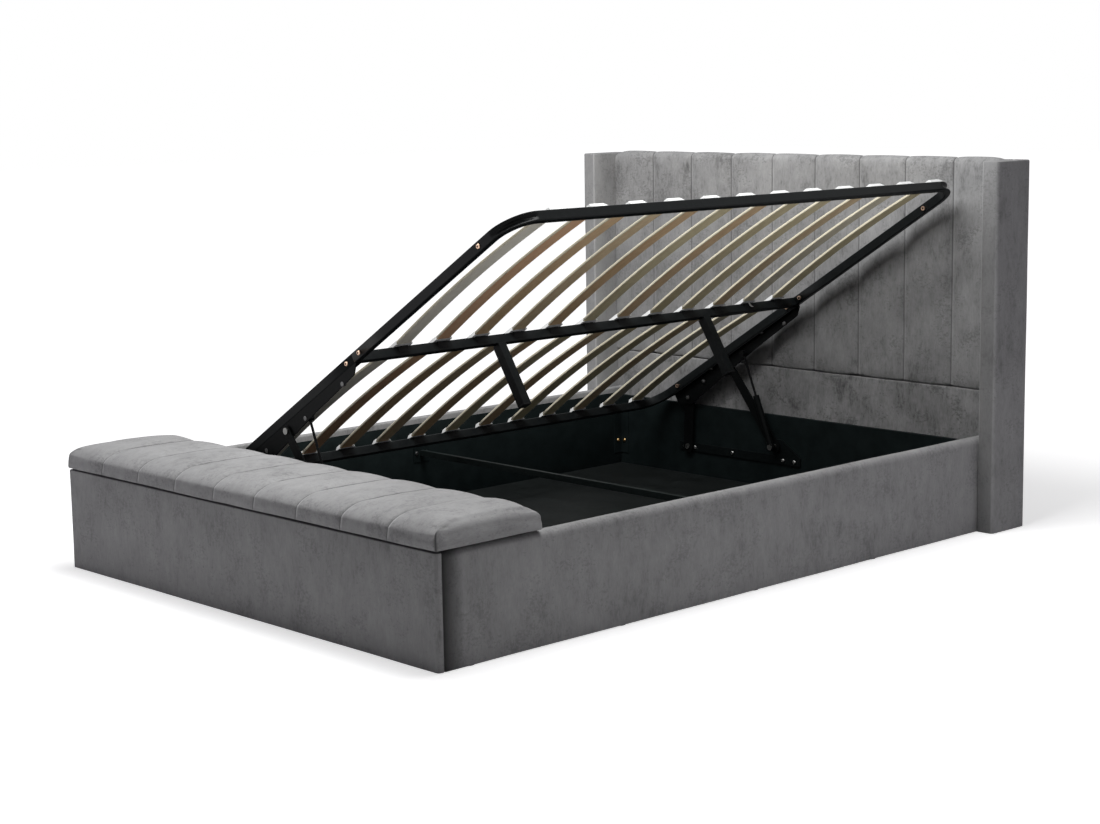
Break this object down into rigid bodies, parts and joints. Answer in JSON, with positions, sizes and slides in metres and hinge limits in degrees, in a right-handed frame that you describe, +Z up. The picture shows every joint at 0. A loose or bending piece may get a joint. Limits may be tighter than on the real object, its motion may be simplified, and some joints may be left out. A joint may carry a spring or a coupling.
{
  "type": "storage bed",
  "caption": "Upholstered storage bed with a channelled winged headboard, a padded storage bench at the foot and a slatted frame that lifts sideways on arms and gas struts.",
  "frame": {"origin": "centre of the bounding box of the footprint, at floor level", "axes": "+X to the long side that opens, +Y to the headboard, +Z up"},
  "size_m": [1.84, 2.44, 1.19],
  "materials": {
    "velvet": "mottled grey velvet",
    "dark_board": "near-black faced board",
    "black_steel": "satin black",
    "brass_bolt": "yellow zinc",
    "steel_bolt": "zinc plated",
    "rod_steel": "polished",
    "black_plastic": "matte",
    "white_plastic": "semi-matte",
    "beech_slat": "bare beech veneer",
    "pale_slat": "bare pale veneer",
    "brown_slat": "bare brown veneer"
  },
  "bodies": {
    "bed_base": {"foot_panel": "velvet", "side_rail_near": "velvet", "side_rail_far": "velvet", "bench_partition": "dark_board", "head_wall": "dark_board", "bench_floor": "dark_board", "floor_board_foot": "dark_board", "floor_board_head": "dark_board", "lid_cleat": "dark_board", "cross_bar": "black_steel", "cross_bar_brackets": "black_steel", "corner_brackets": "black_steel", "carcass_bolts": "brass_bolt", "headboard_core": "velvet", "headboard_lower_panel": "velvet", "headboard_pad": "velvet", "wing_near": "velvet", "wing_far": "velvet", "floor_glides": "black_plastic", "lid_hinge_plates": "black_steel", "lift_base_head": "black_steel", "lift_base_foot": "black_steel", "lift_base_bolts": "steel_bolt", "base_pivot_studs": "steel_bolt"},
    "bench_lid": {"lid_board": "dark_board", "lid_ribs": "dark_board", "lid_cushion": "velvet"},
    "rear_arms": {"rear_arm_head": "black_steel", "rear_arm_foot": "black_steel"},
    "front_arms": {"front_arm_head": "black_steel", "front_arm_foot": "black_steel"},
    "strut_cylinders": {"strut_cylinders": "black_steel"},
    "strut_rods": {"strut_rods": "rod_steel"},
    "slat_frame": {"near_frame_tube": "black_steel", "far_frame_tube": "black_steel", "frame_joiners": "black_steel", "centre_rail": "black_steel", "leg_foot": "black_steel", "leg_head": "black_steel", "leg_caps": "black_plastic", "lift_angle_head": "black_steel", "lift_angle_foot": "black_steel", "frame_bolts": "steel_bolt", "frame_pivot_bolts": "steel_bolt", "slat_holders_near": "white_plastic", "slat_holders_centre": "white_plastic", "slat_holders_far": "white_plastic", "slat_pair_01": "pale_slat", "slat_pair_02": "brown_slat", "slat_pair_03": "beech_slat", "slat_pair_04": "pale_slat", "slat_pair_05": "brown_slat", "slat_pair_06": "beech_slat", "slat_pair_07": "pale_slat", "slat_pair_08": "brown_slat", "slat_pair_09": "beech_slat", "slat_pair_10": "pale_slat", "slat_pair_11": "brown_slat", "slat_pair_12": "beech_slat"}
  },
  "joints": [
    {"name": "front_arm_hinge", "type": "hinge", "parent": "bed_base", "child": "front_arms", "pos_m": [-0.0491, 0.1415, 0.1633], "axis": [0, -1, 0], "range_deg": [0, 46.02]},
    {"name": "frame_hinge", "type": "hinge", "parent": "front_arms", "child": "slat_frame", "pos_m": [-0.26397, 0.1415, 0.43931], "axis": [0, 1, 0], "range_deg": [0, 78.02], "stiffness_Nm_per_rad": 25, "springref_deg": -114.59},
    {"name": "rear_arm_hinge", "type": "hinge", "parent": "bed_base", "child": "rear_arms", "pos_m": [-0.4634, 0.1415, 0.1182], "axis": [0, -1, 0], "range_deg": [0, 72.14]},
    {"name": "strut_hinge", "type": "hinge", "parent": "bed_base", "child": "strut_cylinders", "pos_m": [-0.0491, 0.1415, 0.1633], "axis": [0, -1, 0], "range_deg": [0, 61.29]},
    {"name": "strut_slide", "type": "slide", "parent": "strut_cylinders", "child": "strut_rods", "axis": [-0.3706, 0, 0.9288], "range_m": [-0.095, 0]},
    {"name": "lid_hinge", "type": "hinge", "parent": "bed_base", "child": "bench_lid", "pos_m": [0, -0.878, 0.352], "axis": [-1, 0, 0], "range_deg": [0, 70]}
  ],
  "couplings": [
    {"joint": "rear_arm_hinge", "follows": "frame_hinge", "ratio": 0.9247},
    {"joint": "front_arm_hinge", "follows": "frame_hinge", "ratio": 0.58984},
    {"joint": "strut_hinge", "follows": "frame_hinge", "ratio": 0.78552},
    {"joint": "strut_slide", "follows": "frame_hinge", "m_per_rad": -0.069762}
  ]
}
